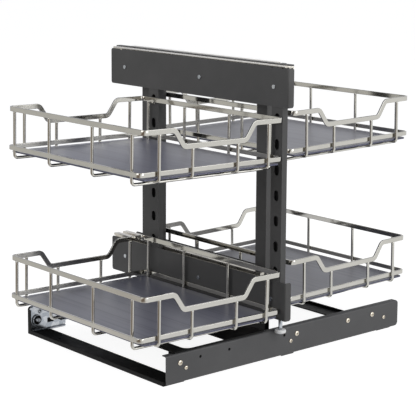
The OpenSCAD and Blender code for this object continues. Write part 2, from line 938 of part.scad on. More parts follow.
// places along Y of the rivets that reach through a spacer to the slide
function rivet_places(right) = [rivet_mid, cover_len - right * right_setback - rivet_rear];

module cover(len, z0) {
  difference() {
    intersection() {
      translate([0, 0, z0])
        linear_extrude(cover_h)
          union() {
            translate([0, cover_bend_r])
              square([cover_t, len - cover_bend_r]);
            translate([cover_bend_r, cover_bend_r])
              quarter_ring(cover_bend_r - cover_t, cover_bend_r, 180);
            translate([cover_bend_r, 0])
              square([frame_d - cover_bend_r, cover_t]);
          }
      along_x(-frame_d, 2 * frame_d)
        translate([-len, z0])
          round_rect(2 * len, cover_h, cover_corner_r);
      along_y(-frame_d, 2 * len)
        translate([-2 * frame_d, z0])
          round_rect(3 * frame_d, cover_h, cover_corner_r);
    }
    for (y = [rivet_front, rivet_mid, len - rivet_rear])
      rod_x(-frame_d, frame_d, y, z0 + cover_h / 2, rivet_d + 2 * hole_fit);
    for (y = [notch_front, notch_front + notch_pitch, len - notch_rear])
      translate([0, y, z0 + cover_h])
        block(-cover_t, 2 * cover_t, -notch_w / 2, notch_w / 2, -notch_h, notch_h);
  }
}

// tab at the foot of a cover that carries the roller pin
module pin_plate() {
  difference() {
    block(cover_t, frame_d, cover_t, pin_tab, cover_z, cover_z + cover_t);
    translate([pin_x, pin_y, cover_z - cover_t])
      cylinder(d = journal_d + 2 * hole_fit, h = 3 * cover_t);
    translate([frame_d, 0, cover_z])
      block(-cover_corner_r, frame_d, -frame_d, slide_front, -cover_t, 2 * cover_t);
  }
}

module left_top_cover() {
  color(frame_colour)
    frame_place(0)
      cover(cover_len, top_cover_z);
}

module left_bottom_cover() {
  color(frame_colour)
    frame_place(0)
      union() {
        cover(cover_len, cover_z);
        pin_plate();
      }
}

module right_top_cover() {
  color(frame_colour)
    frame_place(1)
      cover(right_len, top_cover_z);
}

module right_bottom_cover() {
  color(frame_colour)
    frame_place(1)
      cover(right_len, cover_z);
}

// place along Y of the middle of a rear post, near the rear end of the baskets
function rear_post_y(right) = post_front + post_pitch - right * right_basket_out;

// rectangular tube with hook holes in its outer face
module post(y) {
  difference() {
    translate([0, 0, post_z0])
      linear_extrude(post_z1 - post_z0)
        translate([post_d0, y - post_w / 2])
          difference() {
            square([post_d1 - post_d0, post_w]);
            translate([post_t, post_t])
              square([post_d1 - post_d0 - 2 * post_t, post_w - 2 * post_t]);
          }
    for (k = [0 : hole_count - 1])
      along_x(0, frame_d / 2)
        translate([y, hole_z + k * hole_pitch])
          obround(hole_w, hole_h);
    for (z0 = [cover_z, top_cover_z])
      rod_x(-frame_d, frame_d / 2, rivet_front, z0 + cover_h / 2, rivet_d + 2 * hole_fit);
  }
}

module left_front_post() {
  color(frame_colour)
    frame_place(0)
      post(post_front);
}

module left_rear_post() {
  color(frame_colour)
    frame_place(0)
      post(rear_post_y(0));
}

module right_front_post() {
  color(frame_colour)
    frame_place(1)
      post(post_front);
}

module right_rear_post() {
  color(frame_colour)
    frame_place(1)
      post(rear_post_y(1));
}

// rivets of one cover: the front one holds the post, the others reach the slide through spacers
module cover_rivets(right, z) {
  rod_x(-seat - rivet_head_h, -seat, rivet_front, z, rivet_head_d);
  rod_x(-seat, post_d0 + post_t + seat, rivet_front, z, rivet_d);
  rod_x(post_d0 + post_t + seat, post_d0 + 2 * post_t + seat, rivet_front, z, rivet_d + post_t);
  for (y = rivet_places(right)) {
    rod_x(-seat - rivet_head_h, -seat, y, z, rivet_head_d);
    rod_x(-seat, frame_d + slide_thin + seat, y, z, rivet_d);
    rod_x(cover_t + seat, frame_d - seat, y, z, spacer_d);
    rod_x(frame_d + slide_thin + seat, frame_d + 2 * slide_thin + seat, y, z, rivet_d + 2 * slide_thin);
  }
}

module left_cover_rivets() {
  color(zinc_colour)
    frame_place(0)
      for (z0 = [cover_z, top_cover_z])
        cover_rivets(0, z0 + cover_h / 2);
}

module right_cover_rivets() {
  color(zinc_colour)
    frame_place(1)
      for (z0 = [cover_z, top_cover_z])
        cover_rivets(1, z0 + cover_h / 2);
}

// guide roller on its pin under the front end of the left lower cover

module roller_pin() {
  z0 = roller_z - roller_h / 2 - seat;
  z1 = roller_z + roller_h / 2 + seat;
  color(zinc_colour)
    frame_place(0)
      translate([pin_x, pin_y, 0])
        union() {
          translate([0, 0, z0 - pin_head_h])
            cylinder(d = pin_head_d, h = pin_head_h);
          translate([0, 0, z0])
            cylinder(d = journal_d, h = cover_z + cover_t + seat - z0);
          translate([0, 0, z1])
            cylinder(d = pin_d, h = cover_z - seat - z1);
          translate([0, 0, cover_z + cover_t + seat])
            cylinder(d = pin_d, h = pin_head_h);
        }
}

module guide_roller() {
  color(nylon_colour)
    frame_place(0)
      translate([pin_x, pin_y, roller_z - roller_h / 2])
        difference() {
          cylinder(d = roller_d, h = roller_h);
          translate([0, 0, -roller_h])
            cylinder(d = journal_d + 2 * roller_fit, h = 3 * roller_h);
        }
}

// baskets, drawn with X away from the frame, Y from the front and Z down from the top rail

function basket_z(step) = hole_z + step * hole_pitch + basket_rise;

// moves a basket to its place on a frame, tilted up towards its free side
module basket_place(right, step) {
  frame_place(right)
    translate([-basket_gap, basket_front - right * right_basket_out, basket_z(step)])
      rotate([0, basket_tilt, 0])
        mirror([1, 0, 0])
          children();
}

// points along part of a circle
function arc_points(x, z, r, a0, a1) =
  [for (i = [0 : dip_steps]) let (a = a0 + (a1 - a0) * i / dip_steps) [x + r * cos(a), z + r * sin(a)]];

// one edge of the dipped bar, from its level end to the middle; side is +1 for the top edge
function dip_edge(side) = concat(
  [[rim_r, -rim_h / 2 + side * rim_h / 2]],
  arc_points(dip_flat, -rim_h / 2 - dip_r, dip_r + side * rim_h / 2, 90, 90 - dip_angle),
  arc_points(dip_flat + dip_run, -rim_h / 2 - dip_h + dip_r, dip_r - side * rim_h / 2, 270 - dip_angle, 270)
);

// the same edge carried on to the other end of the bar
function whole_edge(half) =
  concat(half, [for (i = [len(half) - 1 : -1 : 0]) [basket_w - half[i][0], half[i][1]]]);

// points in the opposite order
function reversed(list) = [for (i = [len(list) - 1 : -1 : 0]) list[i]];

// front side of the top rail with its dip
module dip_rail() {
  along_y(0, bar_t)
    polygon(concat(whole_edge(dip_edge(1)), reversed(whole_edge(dip_edge(-1)))));
}

// loop of flat bar with bent corners, lower front left corner at the origin
module bar_loop(w, l, h) {
  linear_extrude(h)
    difference() {
      round_rect(w, l, rim_r);
      translate([bar_t, bar_t])
        round_rect(w - 2 * bar_t, l - 2 * bar_t, rim_r - bar_t);
    }
}

module top_rail() {
  difference() {
    translate([0, 0, -rim_h])
      bar_loop(basket_w, basket_l, rim_h);
    block(dip_flat / 2, basket_w - dip_flat / 2, -bar_t, basket_l + bar_t, -2 * rim_h, rim_h);
  }
  dip_rail();
  translate([0, basket_l, 0])
    mirror([0, 1, 0])
      dip_rail();
}

module bottom_rail() {
  translate([-low_out, low_in, -rail_drop - low_h])
    bar_loop(basket_w + 2 * low_out, basket_l - 2 * low_in, low_h);
}

// wire bent to a wide U: X along its span, feet at the given depth, open ends up
module u_wire(span, top, foot) {
  for (x = [0, span])
    translate([x, 0, -foot + wire_r])
      cylinder(d = wire_d, h = foot - wire_r - top);
  for (s = [0, 1])
    translate([s * span, 0, 0])
      mirror([s, 0, 0])
        translate([wire_r, 0, -foot + wire_r])
          rotate([90, 0, 0])
            rotate([0, 0, 180])
              rotate_extrude(angle = 90)
                translate([wire_r, 0])
                  circle(d = wire_d);
  rod_x(wire_r, span - wire_r, 0, -foot, wire_d);
}

module wires() {
  for (s = [-1, 1]) {
    for (y = [wire_in_y, wire_out_y])
      translate([wire_mid, basket_l / 2 + wire_shift + s * y, 0])
        u_wire(basket_w - 2 * wire_mid, rim_h + seat, cross_wire_z);
    translate([basket_w / 2 + s * wire_out_x, wire_mid, 0])
      rotate([0, 0, 90])
        u_wire(basket_l - 2 * wire_mid, rim_h + seat, long_wire_z);
    translate([basket_w / 2 + s * wire_in_x, wire_mid, 0])
      rotate([0, 0, 90])
        u_wire(basket_l - 2 * wire_mid, rim_h + dip_h + seat, long_wire_z);
  }
}

// bottom panel, notched at the feet of the lengthwise wires
module panel() {
  notch = wire_mid + wire_r + seat;
  difference() {
    translate([low_in, low_in, -panel_z - panel_t])
      linear_extrude(panel_t)
        round_rect(basket_w - 2 * low_in, basket_l - 2 * low_in, rim_r / 2);
    for (s = [-1, 1], x = [wire_in_x, wire_out_x], y = [0, basket_l - notch])
      translate([basket_w / 2 + s * x, 0, 0])
        block(-wire_rad - seat, wire_rad + seat, y, y + notch, -panel_z - 2 * panel_t, -panel_z + panel_t);
  }
}

// hooks of one basket, welded to its top rail and hung in the holes of both posts
module hooks(right, step) {
  z = hole_z + step * hole_pitch;
  foot = z - (hole_h - hole_w) / 2 - sqrt(pow(hole_w / 2, 2) - pow(hook_w / 2, 2)) + seat;
  back = post_d0 + post_t + seat;
  frame_place(right)
    for (y = [post_front, rear_post_y(right)])
      along_y(y - hook_w / 2, y + hook_w / 2)
        union() {
          translate([-basket_gap + seat, foot])
            square([hook_t, z + basket_rise - foot]);
          translate([-basket_gap + seat, foot])
            square([back + hook_t + basket_gap - seat, hook_neck]);
          translate([back, foot - hook_tongue])
            square([hook_t, hook_tongue + hook_neck]);
        }
}

module upper_left_top_rail() {
  color(chrome_colour)
    basket_place(0, upper_step)
      top_rail();
}

module upper_left_bottom_rail() {
  color(chrome_colour)
    basket_place(0, upper_step)
      bottom_rail();
}

module upper_left_wires() {
  color(chrome_colour)
    basket_place(0, upper_step)
      wires();
}

module upper_left_panel() {
  color(panel_colour)
    basket_place(0, upper_step)
      panel();
}

module upper_left_hooks() {
  color(chrome_colour)
    hooks(0, upper_step);
}

module lower_left_top_rail() {
  color(chrome_colour)
    basket_place(0, 0)
      top_rail();
}

module lower_left_bottom_rail() {
  color(chrome_colour)
    basket_place(0, 0)
      bottom_rail();
}

module lower_left_wires() {
  color(chrome_colour)
    basket_place(0, 0)
      wires();
}

module lower_left_panel() {
  color(panel_colour)
    basket_place(0, 0)
      panel();
}

module lower_left_hooks() {
  color(chrome_colour)
    hooks(0, 0);
}

module upper_right_top_rail() {
  color(chrome_colour)
    basket_place(1, upper_step)
      top_rail();
}

module upper_right_bottom_rail() {
  color(chrome_colour)
    basket_place(1, upper_step)
      bottom_rail();
}

module upper_right_wires() {
  color(chrome_colour)
    basket_place(1, upper_step)
      wires();
}

module upper_right_panel() {
  color(panel_colour)
    basket_place(1, upper_step)
      panel();
}

module upper_right_hooks() {
  color(chrome_colour)
    hooks(1, upper_step);
}

module lower_right_top_rail() {
  color(chrome_colour)
    basket_place(1, 0)
      top_rail();
}

module lower_right_bottom_rail() {
  color(chrome_colour)
    basket_place(1, 0)
      bottom_rail();
}

module lower_right_wires() {
  color(chrome_colour)
    basket_place(1, 0)
      wires();
}

module lower_right_panel() {
  color(panel_colour)
    basket_place(1, 0)
      panel();
}

module lower_right_hooks() {
  color(chrome_colour)
    hooks(1, 0);
}

front_plate_left();
front_plate_right();
front_rail();
left_floor_strip();
right_floor_strip();
left_rear_bracket();
right_rear_bracket();
rear_rail();
base_bolts();
carriage_deck();
carriage_beam();
front_column();
rear_column();
column_tie_bar();
glide_shoes();
left_top_slide_outer();
left_bottom_slide_outer();
right_top_slide_outer();
right_bottom_slide_outer();
column_rivets();
left_top_slide_middle();
left_bottom_slide_middle();
right_top_slide_middle();
right_bottom_slide_middle();
left_top_slide_inner();
left_bottom_slide_inner();
left_top_cover();
left_bottom_cover();
left_front_post();
left_rear_post();
left_cover_rivets();
roller_pin();
guide_roller();
right_top_slide_inner();
right_bottom_slide_inner();
right_top_cover();
right_bottom_cover();
right_front_post();
right_rear_post();
right_cover_rivets();
upper_left_top_rail();
upper_left_bottom_rail();
upper_left_wires();
upper_left_panel();
upper_left_hooks();
lower_left_top_rail();
lower_left_bottom_rail();
lower_left_wires();
lower_left_panel();
lower_left_hooks();
upper_right_top_rail();
upper_right_bottom_rail();
upper_right_wires();
upper_right_panel();
upper_right_hooks();
lower_right_top_rail();
lower_right_bottom_rail();
lower_right_wires();
lower_right_panel();
lower_right_hooks();
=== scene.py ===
import json
import math

import bmesh
import bpy
from mathutils import Matrix, Vector


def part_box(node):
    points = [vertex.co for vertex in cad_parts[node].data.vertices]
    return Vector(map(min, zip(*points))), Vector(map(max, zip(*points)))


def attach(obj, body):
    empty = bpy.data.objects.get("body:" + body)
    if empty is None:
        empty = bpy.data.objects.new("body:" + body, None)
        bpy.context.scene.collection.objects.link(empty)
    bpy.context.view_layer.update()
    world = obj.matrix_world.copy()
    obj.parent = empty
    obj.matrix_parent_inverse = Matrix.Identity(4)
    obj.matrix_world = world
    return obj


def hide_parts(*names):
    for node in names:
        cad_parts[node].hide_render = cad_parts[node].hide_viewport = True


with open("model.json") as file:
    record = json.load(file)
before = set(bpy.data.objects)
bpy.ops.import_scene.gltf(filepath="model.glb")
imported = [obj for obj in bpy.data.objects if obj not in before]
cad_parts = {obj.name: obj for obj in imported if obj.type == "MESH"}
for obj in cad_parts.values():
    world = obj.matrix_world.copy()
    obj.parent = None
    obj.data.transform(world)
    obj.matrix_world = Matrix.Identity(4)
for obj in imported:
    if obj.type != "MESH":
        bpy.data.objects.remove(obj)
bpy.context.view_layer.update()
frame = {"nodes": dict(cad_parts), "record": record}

MM = 0.001
WELD_DISTANCE = 0.002 * MM
UPWARD = (0.0, 0.0, 1.0)
FORWARD = (0.0, -1.0, 0.0)
WHITE = (1.0, 1.0, 1.0, 1.0)

# Camera solved from the photograph: place in millimetres, angles in degrees, focal length in pixels.
IMAGE_PX = 416
CAMERA_PLACE = (-1892.0, -2185.3, 845.8)
CAMERA_AZIMUTH = -40.68
CAMERA_ELEVATION = 8.95
CAMERA_ROLL = -0.34
CAMERA_FOCAL_PX = 1428.6
CAMERA_SHIFT_Y = -0.15
SENSOR_MM = 36.0
CLIP_NEAR = 0.05
CLIP_FAR = 100.0


def make_camera():
    """Camera at the photograph's place, with the shift of its lens."""
    azimuth = math.radians(CAMERA_AZIMUTH)
    elevation = math.radians(CAMERA_ELEVATION)
    roll = math.radians(CAMERA_ROLL)
    flat = math.cos(elevation)
    back = Vector((math.sin(azimuth) * flat, -math.cos(azimuth) * flat, math.sin(elevation)))
    level = Vector((math.cos(azimuth), math.sin(azimuth), 0.0))
    upright = level.cross(-back)
    right = level * math.cos(roll) - upright * math.sin(roll)
    up = level * math.sin(roll) + upright * math.cos(roll)
    data = bpy.data.cameras.new("camera")
    data.sensor_width = SENSOR_MM
    data.lens = CAMERA_FOCAL_PX / IMAGE_PX * SENSOR_MM
    data.shift_y = CAMERA_SHIFT_Y
    data.clip_start = CLIP_NEAR
    data.clip_end = CLIP_FAR
    camera = bpy.data.objects.new("camera", data)
    turn = Matrix((right, up, back)).transposed().to_4x4()
    camera.matrix_world = Matrix.Translation(Vector(CAMERA_PLACE) * MM) @ turn
    bpy.context.scene.collection.objects.link(camera)
    bpy.context.scene.camera = camera


def make_adder(tree):
    """Function that adds a shader node to a tree and sets its inputs or properties by name."""
    def add(kind, **values):
        node = tree.nodes.new("ShaderNode" + kind)
        for key, value in values.items():
            if key in node.inputs:
                node.inputs[key].default_value = value
            else:
                setattr(node, key, value)
        return node

    return add


def new_material(name):
    """Node material; returns the material, a node maker and its principled shader."""
    mat = bpy.data.materials.new(name)
    mat.use_nodes = True
    return mat, make_adder(mat.node_tree), mat.node_tree.nodes["Principled BSDF"]


def link(owner, out_socket, in_socket):
    """Joins two sockets in the node tree of a material or a world."""
    owner.node_tree.links.new(out_socket, in_socket)


def grey(value):
    return (value, value, value, 1.0)


# Positions on a colour ramp that spread the usual range of a noise.
RAMP_START = 0.3
RAMP_END = 0.7


def ramp(add, low, high, start=RAMP_START, end=RAMP_END):
    """Colour ramp between two colours."""
    node = add("ValToRGB")
    stops = node.color_ramp.elements
    stops[0].position = start
    stops[0].color = (*low, 1.0)
    stops[1].position = end
    stops[1].color = (*high, 1.0)
    return node


def grey_ramp(add, low, high, start=RAMP_START, end=RAMP_END):
    return ramp(add, (low,) * 3, (high,) * 3, start, end)


def send_through(owner, value, curve, target):
    """Sends a value through a colour ramp into a socket."""
    link(owner, value, curve.inputs["Fac"])
    link(owner, curve.outputs["Color"], target)


def place_textures(mat, add, *textures):
    """Lays textures along the object's own axes."""
    place = add("TexCoord")
    for texture in textures:
        link(mat, place.outputs["Object"], texture.inputs["Vector"])


def emboss(mat, add, shader, height, strength, depth):
    """Relief on a shader, with its depth in metres."""
    relief = add("Bump", Strength=strength, Distance=depth)
    link(mat, height, relief.inputs["Height"])
    link(mat, relief.outputs["Normal"], shader.inputs["Normal"])


# Powder coat: mottled colour, orange peel and cloudy sheen.
MOTTLE = {"Scale": 14.0, "Detail": 4.0}
PEEL = {"Scale": 1400.0, "Detail": 2.0}
PEEL_STRENGTH = 0.12
PEEL_DEPTH = 0.0002
SHEEN = {"Scale": 60.0, "Detail": 3.0}

# Lighter edges of painted sheet, partly rubbed paint and partly a painted highlight along the bends:
# how strongly, over which width in millimetres, between which cosines of the turn, and how much lighter
# than the paint.
EDGE_RUB_AND_HIGHLIGHT = 0.55
EDGE_WIDTH = 1.4
EDGE_SAMPLES = 6
EDGE_START = 0.80
EDGE_END = 0.985
EDGE_RUB_AND_HIGHLIGHT_GAIN = 2.2


def powder_coat(name, low, high, rough_low, rough_high, specular):
    """Powder-coated sheet: faint mottling, a fine orange-peel grain, and lighter edges that are partly
    rubbed paint and partly a painted highlight.
    """
    mat, add, shader = new_material(name)
    shader.inputs["Specular IOR Level"].default_value = specular
    mottle = add("TexNoise", **MOTTLE)
    peel = add("TexNoise", **PEEL)
    cloud = add("TexNoise", **SHEEN)
    place_textures(mat, add, mottle, peel, cloud)
    shape = add("NewGeometry")
    softened = add("Bevel", samples=EDGE_SAMPLES, Radius=EDGE_WIDTH * MM)
    turned = add("VectorMath", operation="DOT_PRODUCT")
    link(mat, shape.outputs["True Normal"], turned.inputs[0])
    link(mat, softened.outputs["Normal"], turned.inputs[1])
    # Edges lighter than the paint: partly rubbed paint, partly a painted highlight along the bends.
    rubbed_and_highlighted = add("MixRGB", Color2=(*[EDGE_RUB_AND_HIGHLIGHT_GAIN * value for value in high], 1.0))
    edge = grey_ramp(add, EDGE_RUB_AND_HIGHLIGHT, 0.0, EDGE_START, EDGE_END)
    send_through(mat, turned.outputs["Value"], edge, rubbed_and_highlighted.inputs["Fac"])
    send_through(mat, mottle.outputs["Fac"], ramp(add, low, high), rubbed_and_highlighted.inputs["Color1"])
    link(mat, rubbed_and_highlighted.outputs["Color"], shader.inputs["Base Color"])
    sheen = grey_ramp(add, rough_low, rough_high)
    send_through(mat, cloud.outputs["Fac"], sheen, shader.inputs["Roughness"])
    emboss(mat, add, shader, peel.outputs["Fac"], PEEL_STRENGTH, PEEL_DEPTH)
    return mat


# Plated steel: gloss clouds of a share of the spangle's scale, and faint waves from rolling.
CLOUD_SHARE = 0.5
CLOUD_DETAIL = 5.0
WAVE = {"Scale": 25.0, "Detail": 1.0}
WAVE_DEPTH = 0.0004


def plated_metal(name, low, high, rough_low, rough_high, spangle, wave_strength):
    """Plated steel: cloudy spangle in colour and gloss, faint rolling waves."""
    mat, add, shader = new_material(name)
    shader.inputs["Metallic"].default_value = 1.0
    cells = add("TexVoronoi", Scale=spangle)
    cloud = add("TexNoise", Scale=spangle * CLOUD_SHARE, Detail=CLOUD_DETAIL)
    wave = add("TexNoise", **WAVE)
    place_textures(mat, add, cells, cloud, wave)
    tint = ramp(add, low, high, 0.0, 1.0)
    send_through(mat, cells.outputs["Color"], tint, shader.inputs["Base Color"])
    gloss = grey_ramp(add, rough_low, rough_high)
    send_through(mat, cloud.outputs["Fac"], gloss, shader.inputs["Roughness"])
    emboss(mat, add, shader, wave.outputs["Fac"], wave_strength, WAVE_DEPTH)
    return mat


# Decor board: stretch of its grain, bands and pores, and what they do to colour, gloss and relief.
GRAIN_STRETCH = (190.0, 2.2, 190.0)
GRAIN = {"Detail": 6.0, "Roughness": 0.6}
BAND_STRETCH = (26.0, 0.5, 26.0)
BAND = {"Detail": 3.0}
PORE_STRETCH = (120.0, 1.3, 120.0)
PORE = {"Detail": 2.0}
PORE_SHADE = 0.78
PORE_START = 0.36
PORE_END = 0.44
DECOR_START = 0.38
DECOR_END = 0.62
MEAN_OF_TWO = 0.5
LAMINATE_SPECULAR = 0.55
LAMINATE_GLOSS = (0.29, 0.37)
LAMINATE_STRENGTH = 0.008
LAMINATE_DEPTH = 0.0002


def stretched_noise(mat, add, place, stretch, values):
    """Noise over stretched axes of the object; returns its value socket."""
    mapping = add("Mapping", Scale=stretch)
    noise = add("TexNoise", Scale=1.0, **values)
    link(mat, place.outputs["Object"], mapping.inputs["Vector"])
    link(mat, mapping.outputs["Vector"], noise.inputs["Vector"])
    return noise.outputs["Fac"]


def laminate(name, low, high, shaded_side_low, shaded_side_high):
    """Grey decor board: long fine grain along Y with faint bands, satin gloss, side faces bluer and
    painted darker as shade.
    """
    mat, add, shader = new_material(name)
    shader.inputs["Specular IOR Level"].default_value = LAMINATE_SPECULAR
    place = add("TexCoord")
    grain = stretched_noise(mat, add, place, GRAIN_STRETCH, GRAIN)
    band = stretched_noise(mat, add, place, BAND_STRETCH, BAND)
    pore = stretched_noise(mat, add, place, PORE_STRETCH, PORE)
    both = add("Math", operation="ADD")
    link(mat, grain, both.inputs[0])
    link(mat, band, both.inputs[1])
    decor = add("Math", operation="MULTIPLY")
    decor.inputs[1].default_value = MEAN_OF_TWO
    link(mat, both.outputs["Value"], decor.inputs[0])
    facing = add("SeparateXYZ")
    link(mat, place.outputs["Normal"], facing.inputs["Vector"])
    flatness = add("Math", operation="ABSOLUTE")
    link(mat, facing.outputs["Z"], flatness.inputs[0])
    # Side faces take a bluer colour painted darker than the flat faces: painted shade.
    choice = add("MixRGB")
    link(mat, flatness.outputs["Value"], choice.inputs["Fac"])
    for socket, dark, light in (("Color1", shaded_side_low, shaded_side_high), ("Color2", low, high)):
        tint = ramp(add, dark, light, DECOR_START, DECOR_END)
        send_through(mat, decor.outputs["Value"], tint, choice.inputs[socket])
    toned = add("MixRGB", blend_type="MULTIPLY", Fac=1.0)
    link(mat, choice.outputs["Color"], toned.inputs["Color1"])
    shading = grey_ramp(add, PORE_SHADE, 1.0, PORE_START, PORE_END)
    send_through(mat, pore, shading, toned.inputs["Color2"])
    link(mat, toned.outputs["Color"], shader.inputs["Base Color"])
    send_through(mat, grain, grey_ramp(add, *LAMINATE_GLOSS), shader.inputs["Roughness"])
    emboss(mat, add, shader, grain, LAMINATE_STRENGTH, LAMINATE_DEPTH)
    return mat


NYLON_CLOUD = {"Scale": 80.0, "Detail": 3.0}
NYLON_GLOSS = (0.32, 0.45)


def moulded_plastic(name, low, high):
    """Moulded nylon: slightly cloudy, soft sheen."""
    mat, add, shader = new_material(name)
    cloud = add("TexNoise", **NYLON_CLOUD)
    place_textures(mat, add, cloud)
    send_through(mat, cloud.outputs["Fac"], ramp(add, low, high), shader.inputs["Base Color"])
    send_through(mat, cloud.outputs["Fac"], grey_ramp(add, *NYLON_GLOSS), shader.inputs["Roughness"])
    return mat


# Paints: darker and lighter colour, lowest and highest roughness, specular level.
PAINTS = {
    "frame_paint": ((0.068, 0.068, 0.068), (0.079, 0.078, 0.078), 0.38, 0.48, 0.24),
    "plate_paint": ((0.080, 0.080, 0.082), (0.094, 0.094, 0.096), 0.40, 0.50, 0.30),
    "black_paint": ((0.004, 0.004, 0.004), (0.007, 0.007, 0.007), 0.42, 0.52, 0.10),
}

# Platings: darker and lighter colour, lowest and highest roughness, spangle scale, strength of the waves.
PLATINGS = {
    "zinc": ((0.30, 0.33, 0.37), (0.56, 0.58, 0.61), 0.16, 0.32, 90.0, 0.05),
    "slide_steel": ((0.70, 0.67, 0.61), (0.77, 0.74, 0.68), 0.24, 0.34, 140.0, 0.02),
    "bolt_nickel": ((0.56, 0.51, 0.43), (0.66, 0.61, 0.52), 0.18, 0.26, 300.0, 0.05),
    "chrome": ((0.53, 0.52, 0.485), (0.57, 0.56, 0.525), 0.06, 0.11, 40.0, 0.02),
}

# Darker and lighter colour of the board's flat faces and of its side faces, which are bluer and carry
# painted shade, and of the nylon.
BOARD_FACE = ((0.132, 0.135, 0.176), (0.152, 0.155, 0.200))
SHADED_BOARD_SIDE = ((0.066, 0.070, 0.125), (0.084, 0.088, 0.150))
NYLON_COLOURS = ((0.86, 0.86, 0.85), (0.92, 0.92, 0.91))

materials = {}
for paint, look in PAINTS.items():
    materials[paint] = powder_coat(paint, *look)
for plating, look in PLATINGS.items():
    materials[plating] = plated_metal(plating, *look)
materials["panel_board"] = laminate("panel_board", *BOARD_FACE, *SHADED_BOARD_SIDE)
materials["nylon"] = moulded_plastic("nylon", *NYLON_COLOURS)

# Rounding of the edges of each finish, in millimetres.
EDGE_ROUND = {
    "frame_paint": 0.5,
    "plate_paint": 0.6,
    "black_paint": 0.6,
    "zinc": 0.35,
    "chrome": 0.8,
    "panel_board": 0.4,
    "nylon": 0.6,
}
EDGE_SEGMENTS = 2
RIVET_ROUND = 1.2
RIVET_SEGMENTS = 4
FLAT_ANGLE = math.radians(0.4)
EDGE_ANGLE = math.radians(30.0)


def round_edges(node, width, segments):
    """Rounds the sharp edges of a CAD node, as rolled or moulded edges are."""
    weld = node.modifiers.new("weld", "WELD")
    weld.merge_threshold = WELD_DISTANCE
    flat = node.modifiers.new("flat", "DECIMATE")
    flat.decimate_type = "DISSOLVE"
    flat.angle_limit = FLAT_ANGLE
    edge = node.modifiers.new("edge", "BEVEL")
    edge.width = width * MM
    edge.segments = segments
    edge.limit_method = "ANGLE"
    edge.angle_limit = EDGE_ANGLE
    edge.harden_normals = True


def dress_nodes():
    """Every CAD node takes the look of its slot and softly rounded edges; slides have a warmer plating."""
    for part in frame["record"]["subparts"]:
        name = part["node"]
        finish = part["material_slot"]
        node = frame["nodes"][name]
        node.data.materials.clear()
        node.data.materials.append(materials["slide_steel" if "slide" in name else finish])
        if name.endswith("rivets"):
            round_edges(node, RIVET_ROUND, RIVET_SEGMENTS)
        elif finish in EDGE_ROUND and not name.endswith("wires"):
            round_edges(node, EDGE_ROUND[finish], EDGE_SEGMENTS)


# Least upright part of the normal of a face that counts as looking up.
LOOKS_UP = 0.99


def loose_solids(name):
    """The separate solids of a CAD node: corner points, and the middles of the faces that look up."""
    mesh = bmesh.new()
    mesh.from_mesh(frame["nodes"][name].data)
    bmesh.ops.remove_doubles(mesh, verts=mesh.verts, dist=WELD_DISTANCE)
    mesh.normal_update()
    seen = set()
    solids = []
    for start in mesh.verts:
        if start in seen:
            continue
        seen.add(start)
        waiting = [start]
        group = []
        while waiting:
            vert = waiting.pop()
            group.append(vert)
            for edge in vert.link_edges:
                other = edge.other_vert(vert)
                if other not in seen:
                    seen.add(other)
                    waiting.append(other)
        points = [vert.co.copy() for vert in group]
        tops = {face for vert in group for face in vert.link_faces if face.normal.z > LOOKS_UP}
        solids.append((points, [face.calc_center_median() for face in tops]))
    mesh.free()
    return solids


def corners(points):
    """Lowest and highest corner of some points."""
    low = Vector([min(p[i] for p in points) for i in range(3)])
    high = Vector([max(p[i] for p in points) for i in range(3)])
    return low, high


TURN_STEPS = 48
HEX_SIDES = 6


def hexagon(angle):
    """Radius of a hexagon at an angle, for a corner radius of one."""
    side = math.tau / HEX_SIDES
    return math.cos(side / 2.0) / math.cos(angle % side - side / 2.0)


def turned_circles(mesh, profile, origin, axis):
    """Adds the circles of a turned shape: (radius, height, whether hexagonal) in millimetres."""
    turn = Vector(UPWARD).rotation_difference(Vector(axis)).to_matrix()
    circles = []
    for radius, height, hexed in profile:
        circle = []
        for step in range(TURN_STEPS):
            angle = math.tau * step / TURN_STEPS
            reach = radius * (hexagon(angle) if hexed else 1.0)
            spot = Vector((reach * math.cos(angle), reach * math.sin(angle), height)) * MM
            circle.append(mesh.verts.new(Vector(origin) + turn @ spot))
        circles.append(circle)
    return circles


def round_profile(outline, scale=1.0):
    """Profile of round circles from pairs of (radius, height), with the radii scaled."""
    return [(radius * scale, height, False) for radius, height in outline]


def join_circles(mesh, low, high):
    """Adds the faces between two loops of points."""
    for step in range(len(low)):
        after = (step + 1) % len(low)
        mesh.faces.new((low[step], low[after], high[after], high[step]))


def lathe(mesh, profile, origin, axis):
    """Adds a solid turned shape, closed at both ends of its profile."""
    circles = turned_circles(mesh, profile, origin, axis)
    for low, high in zip(circles, circles[1:]):
        join_circles(mesh, low, high)
    mesh.faces.new(circles[0])
    mesh.faces.new(circles[-1])


def ring(mesh, profile, origin, axis):
    """Adds a turned ring, whose profile closes on itself."""
    circles = turned_circles(mesh, profile, origin, axis)
    for low, high in zip(circles, circles[1:] + circles[:1]):
        join_circles(mesh, low, high)


def add_piece(name, mesh, body, finish, replaced=(), look=None):
    """Turns a mesh under construction into a piece that rides on a body."""
    bmesh.ops.recalc_face_normals(mesh, faces=mesh.faces)
    for face in mesh.faces:
        face.smooth = True
    for edge in mesh.edges:
        if len(edge.link_faces) == 2 and edge.calc_face_angle() > EDGE_ANGLE:
            edge.smooth = False
    data = bpy.data.meshes.new(name)
    mesh.to_mesh(data)
    mesh.free()
    piece = bpy.data.objects.new(name, data)
    piece.data.materials.append(materials[look or finish])
    bpy.context.scene.collection.objects.link(piece)
    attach(piece, body)
    if replaced:
        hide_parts(*replaced)


